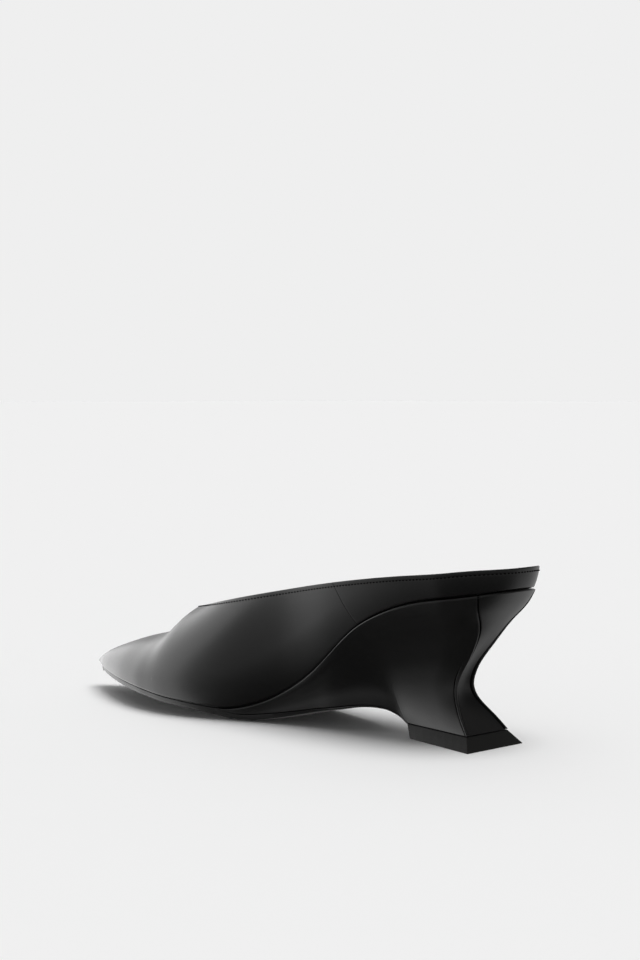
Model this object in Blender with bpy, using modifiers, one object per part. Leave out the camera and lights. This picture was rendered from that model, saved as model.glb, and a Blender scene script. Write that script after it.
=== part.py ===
"""Mule pump, right shoe, on a sculpted wedge heel.

Metres, +X to the toe, +Y to the medial side, +Z up. The origin is the centre of the
top piece's resting face. Every piece is worked out from one last, a closed form whose
sections run from the heel back (0) to the toe tip (1).
"""
from math import pi, radians

import bmesh
import bpy
import numpy as np

# Driving sizes
LENGTH = 0.2664
BALL_WIDTH = 0.078
HEEL_ROUND = 0.027
TOE_ROUND = 0.014
TOE_TIP = 0.002
INSTEP_HEIGHT = 0.0472
HEEL_HEIGHT = 0.0652
BALL_HEIGHT = 0.0056
TOE_SPRING = 0.006
RIM_HEIGHT = 0.0089
WALL = 0.0018

SOLE_THICKNESS = 0.0031
SOLE_EDGE_LIFT = 0.0007
SOLE_INSET = 0.0011
SOLE_BEVEL = 0.0005
ARCH_HEIGHT = 0.0129
TAIL_THICKNESS = 0.0004
INSOLE_THICKNESS = 0.0035
INSOLE_EDGE = 0.001
INSOLE_GAP = 0.0006

TOP_PIECE_THICKNESS = 0.006
TOP_PIECE_SETBACK = 0.015
TOP_PIECE_LENGTH = 0.0424
TOP_PIECE_WIDTH = 0.0366
TOP_PIECE_FRONT_WIDTH = 0.014
TOP_PIECE_BACK_FLARE = 0.0046
TOP_PIECE_SIDE_FLARE = 0.005
TOP_PIECE_FRONT_LEAN = 0.0036
TOP_PIECE_FRONT_FLARE = 0.0024
TOP_PIECE_EDGE = 0.0003
BREAST_STEP = 0.0006

WAIST_WIDTH = 0.0094
WAIST_DEPTH = 0.0152
LEDGE = 0.001
LEDGE_ROUND = 0.0007
BACK_COVER = 0.0012
BACK_STEP = 0.0005
BACK_HOLLOW = 0.0012
RIDGE_LAND = 0.0007
CLEARANCE = 0.0003

LEATHER, LEATHER_ROUGHNESS = (0.02, 0.02, 0.02), 0.4
LINING, LINING_ROUGHNESS = (0.03, 0.028, 0.026), 0.6
SOLE_LEATHER, SOLE_ROUGHNESS = (0.018, 0.017, 0.016), 0.6
RUBBER, RUBBER_ROUGHNESS = (0.014, 0.013, 0.012), 0.6

# Where the pieces begin and end along the shoe, shares of the length
THROAT_AT = 0.698
TAIL_AT = 0.571
RIDGE_ANGLE = radians(130)

# Sections of the last. Widths are shares of half the ball width; the height of the
# widest level, the crown and the depth of the belly are shares of the instep height.
LAST_COLUMNS = ("along", "medial", "lateral", "widest", "crown", "belly", "fullness")
LAST = (
    (0.000, 0.708, 0.708, 1.716, 3.180, 0.620, 2.10),
    (0.101, 0.710, 0.710, 1.674, 3.030, 0.680, 2.10),
    (0.225, 0.713, 0.718, 1.462, 2.710, 0.760, 2.10),
    (0.338, 0.687, 0.733, 1.123, 2.370, 0.740, 2.10),
    (0.432, 0.687, 0.795, 0.805, 2.010, 0.680, 2.10),
    (0.533, 0.841, 0.923, 0.530, 1.568, 0.672, 2.05),
    (0.608, 0.959, 0.997, 0.403, 1.261, 0.668, 1.90),
    (0.668, 1.000, 1.003, 0.360, 1.081, 0.636, 1.66),
    (THROAT_AT, 0.990, 0.969, 0.345, 1.000, 0.600, 1.52),
    (0.728, 0.956, 0.928, 0.335, 0.850, 0.572, 1.50),
    (0.751, 0.923, 0.890, 0.328, 0.772, 0.551, 1.53),
    (0.777, 0.867, 0.831, 0.320, 0.712, 0.508, 1.62),
    (0.826, 0.736, 0.692, 0.307, 0.642, 0.424, 1.82),
    (0.882, 0.541, 0.505, 0.297, 0.553, 0.339, 2.00),
    (0.931, 0.344, 0.323, 0.288, 0.464, 0.254, 2.10),
    (0.968, 0.187, 0.177, 0.280, 0.390, 0.212, 2.10),
    (1.000, 0.074, 0.074, 0.271, 0.331, 0.191, 2.10),
)
SIDE_FULLNESS = 2.1

# The feather line, where the upper meets what is under it: lift is a share of the
# climb from the ball to the heel seat, spring a share of the toe spring.
FEATHER_COLUMNS = ("along", "lift", "spring")
FEATHER = (
    (0.000, 1.058, 0.00),
    (0.030, 1.032, 0.00),
    (0.075, 1.000, 0.00),
    (0.133, 0.958, 0.00),
    (0.177, 0.908, 0.00),
    (0.225, 0.828, 0.00),
    (0.274, 0.711, 0.00),
    (0.322, 0.547, 0.00),
    (0.367, 0.388, 0.00),
    (0.407, 0.265, 0.00),
    (0.444, 0.169, 0.00),
    (0.481, 0.087, 0.00),
    (0.518, 0.030, 0.00),
    (0.554, 0.000, 0.00),
    (0.593, 0.000, 0.07),
    (0.638, 0.000, 0.27),
    (0.694, 0.000, 0.49),
    (0.758, 0.000, 0.75),
    (0.845, 0.000, 0.93),
    (1.000, 0.000, 1.00),
)

# The topline in side view: shares of the climb from the throat to the heel back.
TOPLINE_COLUMNS = ("along", "medial", "lateral")
TOPLINE = (
    (0.000, 1.000, 1.000),
    (0.030, 0.987, 0.957),
    (0.086, 0.927, 0.871),
    (0.164, 0.848, 0.785),
    (0.253, 0.743, 0.680),
    (0.344, 0.614, 0.548),
    (0.436, 0.462, 0.389),
    (0.541, 0.277, 0.211),
    (0.619, 0.135, 0.092),
    (THROAT_AT, 0.000, 0.000),
)

# The wedge's lower line from breast to tail: tuck is a share of the feather line's
# half width, height a share of the arch height. Sole is the outsole's thickness there.
ARCH_COLUMNS = ("along", "tuck", "height", "sole")
ARCH = (
    (0.2312, 0.168, 0.510, 0.62),
    (0.237, 0.174, 0.592, 0.60),
    (0.2425, 0.183, 0.680, 0.58),
    (0.2515, 0.208, 0.793, 0.56),
    (0.260, 0.240, 0.872, 0.54),
    (0.267, 0.276, 0.927, 0.52),
    (0.275, 0.316, 0.961, 0.51),
    (0.290, 0.405, 0.992, 0.50),
    (0.305, 0.494, 0.984, 0.49),
    (0.3205, 0.580, 0.953, 0.50),
    (0.345, 0.71, 0.868, 0.55),
    (0.379, 0.81, 0.752, 0.64),
    (0.413, 0.90, 0.620, 0.75),
    (0.447, 0.96, 0.488, 0.88),
    (0.480, 0.99, 0.380, 1.00),
    (0.514, 1.00, 0.290, 1.12),
    (0.544, 1.00, 0.279, 1.16),
    (TAIL_AT, 1.00, 0.395, 1.14),
)
SOLE_FADE = 0.05
SOLE_FLAT = 0.4
SOLE_SHOULDER = 0.85
WEDGE_EDGE_TAPER = 0.06

# The seam ridges at the back corners of the wedge, from top piece to ledge: how far
# the line is drawn in towards the toe (a share of WAIST_DEPTH) and towards the middle.
RIDGE_COLUMNS = ("up", "forward", "inward")
RIDGE = (
    (0.0, 0.00, 0.00),
    (0.1, 0.40, 0.26),
    (0.2, 0.78, 0.60),
    (0.3, 0.98, 0.83),
    (0.4, 0.94, 0.94),
    (0.5, 0.76, 1.00),
    (0.6, 0.55, 0.94),
    (0.7, 0.36, 0.82),
    (0.8, 0.21, 0.57),
    (0.9, 0.07, 0.18),
    (1.0, 0.00, 0.00),
)
PINCH_FADE = 2.4
BACK_ROUND_FADE = 4

# How finely the pieces are worked out and faceted
HALVINGS = 40
CORE_LEVEL = 0.4
BACK_STEPS = 5
CORNER_STEPS = 4
QUARTER_STEPS = 28
THROAT_CROWDING = 0.95
VAMP_STEPS = 11
TOE_STEPS = 6
WALL_STEPS = 9
WEDGE_STEPS = 12
TOP_PIECE_SECTIONS = 9
BREAST_STATIONS = 9
ARCH_STATIONS = 60
SHARP = radians(35)

HALF_BALL = BALL_WIDTH / 2
HEEL_TO_ORIGIN = TOP_PIECE_SETBACK + TOP_PIECE_LENGTH / 2
TOE_CENTRE = LENGTH - TOE_ROUND - TOE_TIP
THROAT = THROAT_AT * LENGTH
TAIL = TAIL_AT * LENGTH
TOP_PIECE_FRONT = TOP_PIECE_SETBACK + TOP_PIECE_LENGTH + TOP_PIECE_FRONT_LEAN
BREAST = TOP_PIECE_FRONT + BREAST_STEP


def spline(places, values):
    """A natural cubic spline through the given values."""
    x, y = np.array(places, float), np.array(values, float)
    gap = np.diff(x)
    count = len(x)
    system, right = np.eye(count), np.zeros(count)
    for i in range(1, count - 1):
        system[i, i - 1:i + 2] = gap[i - 1], 2 * (gap[i - 1] + gap[i]), gap[i]
        right[i] = 6 * ((y[i + 1] - y[i]) / gap[i] - (y[i] - y[i - 1]) / gap[i - 1])
    bend = np.linalg.solve(system, right)

    def value(at):
        at = np.clip(np.asarray(at, float), x[0], x[-1])
        i = np.clip(np.searchsorted(x, at) - 1, 0, count - 2)
        before, after, width = at - x[i], x[i + 1] - at, gap[i]
        cubic = (bend[i] * after ** 3 + bend[i + 1] * before ** 3) / (6 * width)
        left = (y[i] / width - bend[i] * width / 6) * after
        return cubic + left + (y[i + 1] / width - bend[i + 1] * width / 6) * before

    return value


def curves(table, columns):
    """One spline for each column after the first, over the first."""
    rows = np.array(table, float)
    return {name: spline(rows[:, 0], rows[:, k]) for k, name in enumerate(columns) if k}


last = curves(LAST, LAST_COLUMNS)
feather = curves(FEATHER, FEATHER_COLUMNS)
topline = curves(TOPLINE, TOPLINE_COLUMNS)
arch = curves(ARCH, ARCH_COLUMNS)
ridge = curves(RIDGE, RIDGE_COLUMNS)


def feather_height(x):
    at = x / LENGTH
    climb = feather["lift"](at) * (HEEL_HEIGHT - BALL_HEIGHT)
    return BALL_HEIGHT + climb + feather["spring"](at) * TOE_SPRING


def topline_height(x, side):
    climb = topline["medial" if side > 0 else "lateral"](x / LENGTH)
    back = feather_height(0) + RIM_HEIGHT
    return INSTEP_HEIGHT + climb * (back - INSTEP_HEIGHT)


def beyond_last(x, y, z):
    """Above zero outside the last, below zero inside it."""
    at = x / LENGTH
    width = HALF_BALL * np.where(y >= 0, last["medial"](at), last["lateral"](at))
    widest = INSTEP_HEIGHT * last["widest"](at)
    rise = INSTEP_HEIGHT * last["crown"](at) - widest
    belly = INSTEP_HEIGHT * last["belly"](at)
    height = np.where(z >= widest, (z - widest) / rise, (widest - z) / belly)
    power = np.where(z >= widest, last["fullness"](at), SIDE_FULLNESS)
    toe = np.clip((x - LENGTH + TOE_ROUND) / TOE_ROUND, 0, None)
    heel = np.clip((HEEL_ROUND - x) / HEEL_ROUND, 0, None)
    return np.abs(y / width) ** SIDE_FULLNESS + height ** power + toe ** 2 + heel ** 2 - 1


def out_to(outside, reach):
    """The distance at which each ray leaves the last, found by halving."""
    near, far = np.zeros_like(reach), reach
    for _ in range(HALVINGS):
        middle = (near + far) / 2
        out = outside(middle)
        near, far = np.where(out, near, middle), np.where(out, middle, far)
    return (near + far) / 2


def half_ring():
    """Where the wall's columns stand on one side: a core point on the middle line and
    a direction, fanned round the heel and the toe."""
    corner = np.linspace(pi, RIDGE_ANGLE, BACK_STEPS + 1)[:-1]
    turn = np.linspace(RIDGE_ANGLE, pi / 2, CORNER_STEPS + 1)[:-1]
    even = np.linspace(0, 1, QUARTER_STEPS + 1)[:-1]
    crowded = even + THROAT_CROWDING * (np.sin(even * pi / 2) - even)
    quarter = HEEL_ROUND + (THROAT - HEEL_ROUND) * crowded
    vamp = np.linspace(THROAT, TOE_CENTRE, VAMP_STEPS + 1)
    tip = np.linspace(pi / 2, 0, TOE_STEPS + 1)[1:]
    core = np.concatenate([np.full(len(corner) + len(turn), HEEL_ROUND), quarter, vamp,
                           np.full(len(tip), TOE_CENTRE)])
    angle = np.concatenate([corner, turn, np.full(len(quarter) + len(vamp), pi / 2), tip])
    return core, angle


def outline(core, angle, height):
    """The last's outline at a height that may change along the shoe."""
    along, across = np.cos(angle), np.sin(angle)

    def outside(reach):
        x = core + reach * along
        return beyond_last(x, reach * across, height(x)) > 0

    reach = out_to(outside, np.full(len(core), BALL_WIDTH))
    x = core + reach * along
    return np.stack([x, reach * across, height(x)], -1), reach


def upper_columns(side):
    """The outer face of the upper on one side, from feather line to topline or crown."""
    core, angle = half_ring()
    angle = angle * side
    foot, foot_reach = outline(core, angle, feather_height)
    rim, rim_reach = outline(core, angle, lambda x: topline_height(x, side))
    closed = core >= THROAT
    crown = INSTEP_HEIGHT * last["crown"](core / LENGTH)
    top = np.where(closed, crown, topline_height(core, side))
    middle = feather_height(core) + CORE_LEVEL * (top - feather_height(core))
    low = np.arctan2(foot[:, 2] - middle, foot_reach)
    high = np.where(closed, pi / 2, np.arctan2(rim[:, 2] - middle, rim_reach))
    rows = []
    for share in np.linspace(0, 1, WALL_STEPS + 1):
        lean = low + share * (high - low)
        flat, up = np.cos(lean), np.sin(lean)
        step = np.stack([flat * np.cos(angle), flat * np.sin(angle), up], -1)
        start = np.stack([core, 0 * core, middle], -1)

        def outside(reach, start=start, step=step):
            x, y, z = (start + step * reach[:, None]).T
            return beyond_last(x, y, z) > 0

        reach = out_to(outside, np.full(len(core), 2 * HEEL_HEIGHT))
        rows.append(start + step * reach[:, None])
    return np.array(rows)


def outward(points):
    """Level directions square to an open line of points, pointing away from its left."""
    along = np.gradient(points[:, :2], axis=0)
    along = along / np.linalg.norm(along, axis=1)[:, None]
    return np.stack([along[:, 1], -along[:, 0], np.zeros(len(points))], -1)


def feather_ring(side, inset=0.0):
    """The feather line of one side from heel back to toe tip, moved in by an inset."""
    core, angle = half_ring()
    points, _ = outline(core, angle * side, feather_height)
    out = -side * outward(points)
    out[0], out[-1] = (-1, 0, 0), (1, 0, 0)
    moved = points - inset * out
    moved[0, 1] = moved[-1, 1] = 0
    return moved, out


# Objects and materials
for old in list(bpy.data.objects):
    bpy.data.objects.remove(old, do_unlink=True)
pieces = bpy.data.collections.new("mule_pump")
bpy.context.scene.collection.children.link(pieces)


def finish(mesh, colour, roughness):
    """Place a mesh as a piece of the shoe, with its own plain material."""
    material = bpy.data.materials.new(mesh.name)
    material.use_nodes = True
    shader = material.node_tree.nodes["Principled BSDF"]
    shader.inputs["Base Color"].default_value = (*colour, 1)
    shader.inputs["Roughness"].default_value = roughness
    mesh.materials.append(material)
    mesh.shade_smooth()
    mesh.set_sharp_from_angle(angle=SHARP)
    piece = bpy.data.objects.new(mesh.name, mesh)
    piece.location.x = -HEEL_TO_ORIGIN
    pieces.objects.link(piece)
    return piece


def mesh_of(name, points, faces):
    """A mesh with its doubles joined and its faces turned out."""
    mesh = bpy.data.meshes.new(name)
    mesh.from_pydata([tuple(point) for point in points], [], faces)
    form = bmesh.new()
    form.from_mesh(mesh)
    bmesh.ops.remove_doubles(form, verts=form.verts, dist=0.000005)
    bmesh.ops.dissolve_degenerate(form, edges=form.edges, dist=0.000001)
    bmesh.ops.recalc_face_normals(form, faces=form.faces)
    if form.calc_volume(signed=True) < 0:
        bmesh.ops.reverse_faces(form, faces=form.faces)
    form.to_mesh(mesh)
    form.free()
    return mesh


def patch(rows, columns, start=0):
    """Four-sided faces over a grid of points kept row by row."""
    return [
        (start + r * columns + c, start + r * columns + c + 1,
         start + (r + 1) * columns + c + 1, start + (r + 1) * columns + c)
        for r in range(rows - 1)
        for c in range(columns - 1)
    ]


def tube(count, size):
    """Four-sided faces between loops of points kept one after another."""
    return [
        (a + b, a + (b + 1) % size, a + size + (b + 1) % size, a + size + b)
        for a in range(0, (count - 1) * size, size)
        for b in range(size)
    ]


def loft(name, sections):
    """A closed solid through loops of points, with its two ends capped."""
    count, size = len(sections), len(sections[0])
    caps = [tuple(range(start, start + size)) for start in (0, (count - 1) * size)]
    return mesh_of(name, np.concatenate(sections), tube(count, size) + caps)


def inner_face(rows):
    """The lining side of a face of the last, one wall in, level along the foot."""
    moves = np.eye(3) * WALL / 100
    points = rows.reshape(-1, 3)
    slopes = [beyond_last(*(points + move).T) - beyond_last(*(points - move).T) for move in moves]
    normal = np.stack(slopes, -1).reshape(rows.shape)
    normal[0, :, 2] = 0
    return rows - WALL * normal / np.linalg.norm(normal, axis=2)[:, :, None]


def build_upper():
    """One hollow leather wall, closed over the vamp and open at the back and below."""
    points, faces = [], []
    back = upper_columns(1)[:, 0]
    open_columns = BACK_STEPS + CORNER_STEPS + QUARTER_STEPS + 1
    for side in (1, -1):
        outer = upper_columns(side)
        outer[:, 0] = back
        inner = inner_face(outer)
        inner[:, 0, 1] = 0
        rims = ((outer[0], inner[0]), (outer[-1, :open_columns], inner[-1, :open_columns]))
        for grid in (outer, inner, *(np.array(rim) for rim in rims)):
            faces += patch(*grid.shape[:2], start=sum(len(block) for block in points))
            points.append(grid.reshape(-1, 3))
    return finish(mesh_of("upper", np.concatenate(points), faces), LEATHER, LEATHER_ROUGHNESS)


def shelf_height(x):
    """The top of what the upper and the insole stand on."""
    return feather_height(x) - CLEARANCE


def wedge_under(x):
    """The line under the wedge, carried on below the feather line in front of its tail."""
    at = x / LENGTH
    fade = np.clip(1 - (at - TAIL_AT) / SOLE_FADE, 0, 1)
    front = shelf_height(x) - TAIL_THICKNESS * fade * fade
    middle = np.where(at <= TAIL_AT, ARCH_HEIGHT * arch["height"](at), front)
    return np.where(x < BREAST, TOP_PIECE_THICKNESS + CLEARANCE, middle)


def sole_thickness(x):
    fade = np.clip((x / LENGTH - TAIL_AT) / SOLE_FADE, 0, 1)
    share = arch["sole"](x / LENGTH)
    return SOLE_THICKNESS * (share + (1 - share) * fade)


def sole_edge(side):
    """One edge of the outsole at its upper face, from the breast to the toe tip."""
    x, _ = foot_stations()
    x = np.append(x[x >= BREAST], TAIL + CLEARANCE)
    back, _ = outline(x, np.full(len(x), side * pi / 2), feather_height)
    back[:, 1] = (back[:, 1] - side * SOLE_INSET) * arch["tuck"](x / LENGTH)
    front, _ = feather_ring(side, SOLE_INSET)
    front = front[front[:, 0] > TAIL + SOLE_THICKNESS]
    front[-1, 1] = side * SOLE_INSET
    return np.concatenate([back, front])


def build_outsole():
    """The outsole: thick at the tread, thin through the arch, flat where it rests."""
    sections = []
    for left, right in zip(sole_edge(1), sole_edge(-1)):
        x = (left[0] + right[0]) / 2
        top = float(shelf_height(x) if x > TAIL else wedge_under(x) - CLEARANCE)
        bottom = max(0.0, float(wedge_under(x) - CLEARANCE - sole_thickness(x)))
        lift = min(SOLE_EDGE_LIFT, (top - bottom) / 3)
        middle, half = (left + right) / 2, (left - right) / 2
        bevel = 1 - SOLE_BEVEL / max(half[1], 2 * SOLE_BEVEL)
        upper_edge = [(share, top) for share in (1, 0, -1)]
        right_edge = [(bevel, bottom + lift), (SOLE_SHOULDER * bevel, bottom + lift / 5),
                      (SOLE_FLAT, bottom)]
        left_edge = [(-share, z) for share, z in right_edge]
        loop = [(*(middle + share * half)[:2], z) for share, z in upper_edge + left_edge + right_edge[::-1]]
        sections.append(np.array(loop))
    return finish(loft("outsole", sections), SOLE_LEATHER, SOLE_ROUGHNESS)


def build_insole():
    """The insole inside the upper, on the wedge and the outsole."""
    edges = [feather_ring(side, WALL + INSOLE_GAP)[0] for side in (1, -1)]
    sections = []
    for left, right in zip(*edges):
        if abs(left[1] - right[1]) < 4 * INSOLE_EDGE:
            continue
        middle, half = (left + right) / 2, (left - right) / 2
        narrow = 1 - INSOLE_EDGE / abs(half[1])
        side = [(1, 0), (1, INSOLE_THICKNESS - INSOLE_EDGE), (narrow, INSOLE_THICKNESS)]
        far = [(-share, rise) for share, rise in side[::-1]]
        loop = np.array([middle + share * half + (0, 0, rise)
                         for share, rise in (*side, (0, INSOLE_THICKNESS), *far, (0, 0))])
        loop[:, 2] += feather_height(loop[:, 0]) - middle[2]
        sections.append(loop)
    return finish(loft("insole", sections), LINING, LINING_ROUGHNESS)


def top_piece_corner(height, back, side):
    """A corner of the top piece: its back and sides flare out towards the floor, and its
    front leans forward going up."""
    share = height / TOP_PIECE_THICKNESS
    if back:
        x = TOP_PIECE_SETBACK + share * TOP_PIECE_BACK_FLARE
        return np.array([x, side * (TOP_PIECE_WIDTH / 2 - share * TOP_PIECE_SIDE_FLARE), height])
    x = TOP_PIECE_FRONT - (1 - share) * TOP_PIECE_FRONT_LEAN
    return np.array([x, side * (TOP_PIECE_FRONT_WIDTH / 2 - share * TOP_PIECE_FRONT_FLARE), height])


def build_top_piece():
    """The hard wearing block under the wedge, a fishtail wide at the back."""
    corners = ((0, 1), (0, -1), (TOP_PIECE_THICKNESS, -1), (TOP_PIECE_THICKNESS, 1))
    back = np.array([top_piece_corner(height, True, side) for height, side in corners])
    front = np.array([top_piece_corner(height, False, side) for height, side in corners])
    sections = [back + share * (front - back) for share in np.linspace(0, 1, TOP_PIECE_SECTIONS)]
    block = finish(loft("top_piece", sections), RUBBER, RUBBER_ROUGHNESS)
    edge = block.modifiers.new("edge", "BEVEL")
    edge.width = TOP_PIECE_EDGE
    edge.segments = 1


def wedge_top(side, spread):
    """The wedge's upper edge on one side, back to tail, spread out from the feather line."""
    line, out = feather_ring(side)
    tail_edge, _ = outline(np.array([TAIL]), np.array([side * pi / 2]), feather_height)
    keep = line[:, 0] < TAIL - WALL
    taper = np.clip((TAIL - line[keep, 0]) / (WEDGE_EDGE_TAPER * LENGTH), 0, 1)[:, None]
    points = line[keep] + spread * taper * out[keep]
    points = np.concatenate([points, tail_edge])
    points[:, 2] = shelf_height(points[:, 0])
    return points


def along_line(points):
    """Shares of the length of a line of points."""
    reach = np.cumsum(np.linalg.norm(np.diff(points, axis=0), axis=1))
    return np.concatenate([[0], reach / reach[-1]])


def foot_stations():
    """How far along the shoe each column of the wedge's side comes down: on the top
    piece, up the breast and through the arch to the tail."""
    shares = along_line(wedge_top(1, 0)[BACK_STEPS:])
    back = top_piece_corner(TOP_PIECE_THICKNESS, True, 1)[0]
    x = np.concatenate([np.linspace(back, TOP_PIECE_FRONT, BREAST_STATIONS),
                        np.linspace(BREAST, TAIL, ARCH_STATIONS)])
    place = along_line(np.stack([x, wedge_under(x)], -1))
    stations = np.interp(shares, place, x)
    breast = np.argmin(abs(stations - BREAST))
    stations[breast - 1:breast + 1] = TOP_PIECE_FRONT, BREAST
    return stations, shares


def wedge_foot(side):
    """The wedge's lower edge on one side, from its back corner to its tail."""
    x, _ = foot_stations()
    line, _ = outline(x, np.full(len(x), side * pi / 2), feather_height)
    back = top_piece_corner(TOP_PIECE_THICKNESS, True, side)
    front = top_piece_corner(TOP_PIECE_THICKNESS, False, side)
    straight = np.interp(x, [back[0], front[0]], [back[1], front[1]])
    line[:, 1] = np.where(x < BREAST, straight, line[:, 1] * arch["tuck"](x / LENGTH))
    line[:, 2] = wedge_under(x)
    return line


def ridge_line(top, foot, level):
    """A back corner of the wedge, drawn in to the waist between top and foot."""
    pinch = (top[1] + foot[1]) / 2
    pinch = np.sign(pinch) * (abs(pinch) - WAIST_WIDTH / 2)
    point = foot + level * (top - foot)
    point[0] += WAIST_DEPTH * ridge["forward"](level)
    point[1] -= pinch * ridge["inward"](level)
    return point


def wedge_shoulder(side):
    """The widest line just below the rounded edge of the wedge, back to tail."""
    line = wedge_top(side, LEDGE)
    thickness = line[:, 2] - wedge_under(line[:, 0])
    line[:, 2] -= np.minimum(LEDGE_ROUND, thickness / 3)
    return line


def wedge_side(side):
    """The wedge's outer face from its ridge to its tail, level by level."""
    _, shares = foot_stations()
    top, foot = wedge_shoulder(side)[BACK_STEPS:], wedge_foot(side)
    fade = (1 - shares[:, None]) ** PINCH_FADE
    rows = []
    for level in np.linspace(0, 1, WEDGE_STEPS + 1):
        straight = foot + level * (top - foot)
        drawn = ridge_line(top[0], foot[0], level) - straight[0]
        rows.append(straight + fade * drawn)
    edge = wedge_top(side, LEDGE - LEDGE_ROUND)[BACK_STEPS:]
    return np.array(rows + [edge])


def back_face(depth, round_in=0.0):
    """The face between the two ridges, a given depth in from them, level by level, with
    a last row at the edge, moved in where that is rounded."""
    tops = [wedge_shoulder(side)[:BACK_STEPS + 1] for side in (1, -1)]
    arc = np.concatenate([tops[0][::-1], tops[1][1:]])
    shares = np.linspace(0, 1, len(arc))[:, None]
    feet = [wedge_foot(side)[0] for side in (1, -1)]
    rows = []
    for level in np.linspace(0, 1, WEDGE_STEPS + 1):
        ends = [ridge_line(top[-1], foot, level) for top, foot in zip(tops, feet)]
        row = ends[0] + shares * (ends[1] - ends[0])
        chord = arc[0] + shares * (arc[-1] - arc[0])
        row += (arc - chord) * level ** BACK_ROUND_FADE
        rows.append(row)
    rows = np.array(rows)
    along = np.gradient(rows, axis=1)
    inward = np.stack([-along[:, :, 1], along[:, :, 0], 0 * along[:, :, 0]], -1)
    inward = inward / np.linalg.norm(inward, axis=2)[:, :, None]
    hollow = np.sin(pi * np.linspace(0, 1, len(rows)))[:, None] * np.sin(pi * shares[:, 0])
    rows[:, :, 0] += BACK_HOLLOW * hollow
    rows = rows + depth * inward
    edge = rows[-1] + round_in * inward[-1]
    edge[:, 2] = shelf_height(edge[:, 0])
    rows[-1, :, 2] = np.minimum(rows[-1, :, 2], edge[:, 2] - LEDGE_ROUND / 2)
    return np.concatenate([rows, edge[None]])


def between(rows, margin):
    """The same rows with a margin left out at each end."""
    shares = np.linspace(0, 1, rows.shape[1])
    kept = []
    for row in rows:
        left = margin / np.linalg.norm(row[0] - row[-1])
        at = left + shares * (1 - 2 * left)
        kept.append(np.stack([np.interp(at, shares, row[:, k]) for k in range(3)], -1))
    return np.array(kept)


def build_wedge():
    """The leather-covered wedge heel, with a recess at the back for the back cover."""
    medial, lateral = wedge_side(1), wedge_side(-1)
    land = between(back_face(0, LEDGE_ROUND), RIDGE_LAND)
    recess = between(back_face(BACK_STEP + BACK_COVER + CLEARANCE), RIDGE_LAND)
    rings = [np.concatenate([m[::-1], d[:1], r, d[-1:], l])
             for m, d, r, l in zip(medial, land, recess, lateral)]
    size, count = len(rings[0]), len(rings)
    faces = tube(count, size)
    beside_ridge = medial.shape[1] - 2
    for base in (0, (count - 1) * size):
        faces.append(tuple(range(base + beside_ridge, base + size - beside_ridge)))
        faces += [(base + k, base + k + 1, base + size - 2 - k, base + size - 1 - k)
                  for k in range(beside_ridge)]
    return finish(mesh_of("wedge_heel", np.concatenate(rings), faces), LEATHER, LEATHER_ROUGHNESS)


def build_back_cover():
    """The narrow leather panel let in between the ridges at the back of the wedge."""
    margin = RIDGE_LAND + CLEARANCE
    outer = between(back_face(BACK_STEP, LEDGE_ROUND), margin)
    inner = between(back_face(BACK_STEP + BACK_COVER), margin)
    sections = [np.concatenate([front, behind[::-1]]) for front, behind in zip(outer, inner)]
    return finish(loft("back_cover", sections), LEATHER, LEATHER_ROUGHNESS)


build_upper()
build_insole()
build_wedge()
build_back_cover()
build_outsole()
build_top_piece()
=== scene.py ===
from math import atan2, cos, pi, radians, sin

import bmesh
import bpy
import numpy as np
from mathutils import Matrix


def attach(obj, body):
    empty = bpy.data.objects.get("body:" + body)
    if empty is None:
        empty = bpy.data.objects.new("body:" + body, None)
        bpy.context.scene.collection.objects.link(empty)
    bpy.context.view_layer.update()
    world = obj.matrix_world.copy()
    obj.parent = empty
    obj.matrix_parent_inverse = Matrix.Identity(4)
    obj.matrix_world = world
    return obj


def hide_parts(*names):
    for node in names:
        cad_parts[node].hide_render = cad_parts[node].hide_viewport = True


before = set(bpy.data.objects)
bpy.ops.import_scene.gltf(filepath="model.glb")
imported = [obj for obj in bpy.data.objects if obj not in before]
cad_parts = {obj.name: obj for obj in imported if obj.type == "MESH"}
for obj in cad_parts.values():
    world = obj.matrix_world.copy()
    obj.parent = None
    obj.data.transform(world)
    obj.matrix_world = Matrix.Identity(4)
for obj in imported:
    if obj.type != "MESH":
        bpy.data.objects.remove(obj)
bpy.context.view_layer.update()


# Upper: one piece of smooth black calf pulled over the last, so it has the last's form.
# It wraps the foot from seam to seam, closed by one butted seam on the medial side, and
# its top edge is folded over and sewn down. All lengths here run from the heel back.
LENGTH = 0.2664
HALF_BALL = 0.039
HEEL_ROUND = 0.027
TOE_ROUND = 0.014
TOE_TIP = 0.002
INSTEP_HEIGHT = 0.0472
HEEL_HEIGHT = 0.0652
BALL_HEIGHT = 0.0056
TOE_SPRING = 0.006
RIM_HEIGHT = 0.0089
WALL = 0.0018
LEATHER = 0.0011
UNDER_FOLD = 0.0009
EDGE_STITCH = 0.0019
STITCH_GROOVE = 0.0003
STITCH_PULL = 0.00006
HEEL_TO_ORIGIN = 0.0362
THROAT_AT = 0.698
TAIL_AT = 0.571
TOE_CENTRE = LENGTH - TOE_ROUND - TOE_TIP
TAIL = TAIL_AT * LENGTH
SIDE_FULLNESS = 2.1

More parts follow.
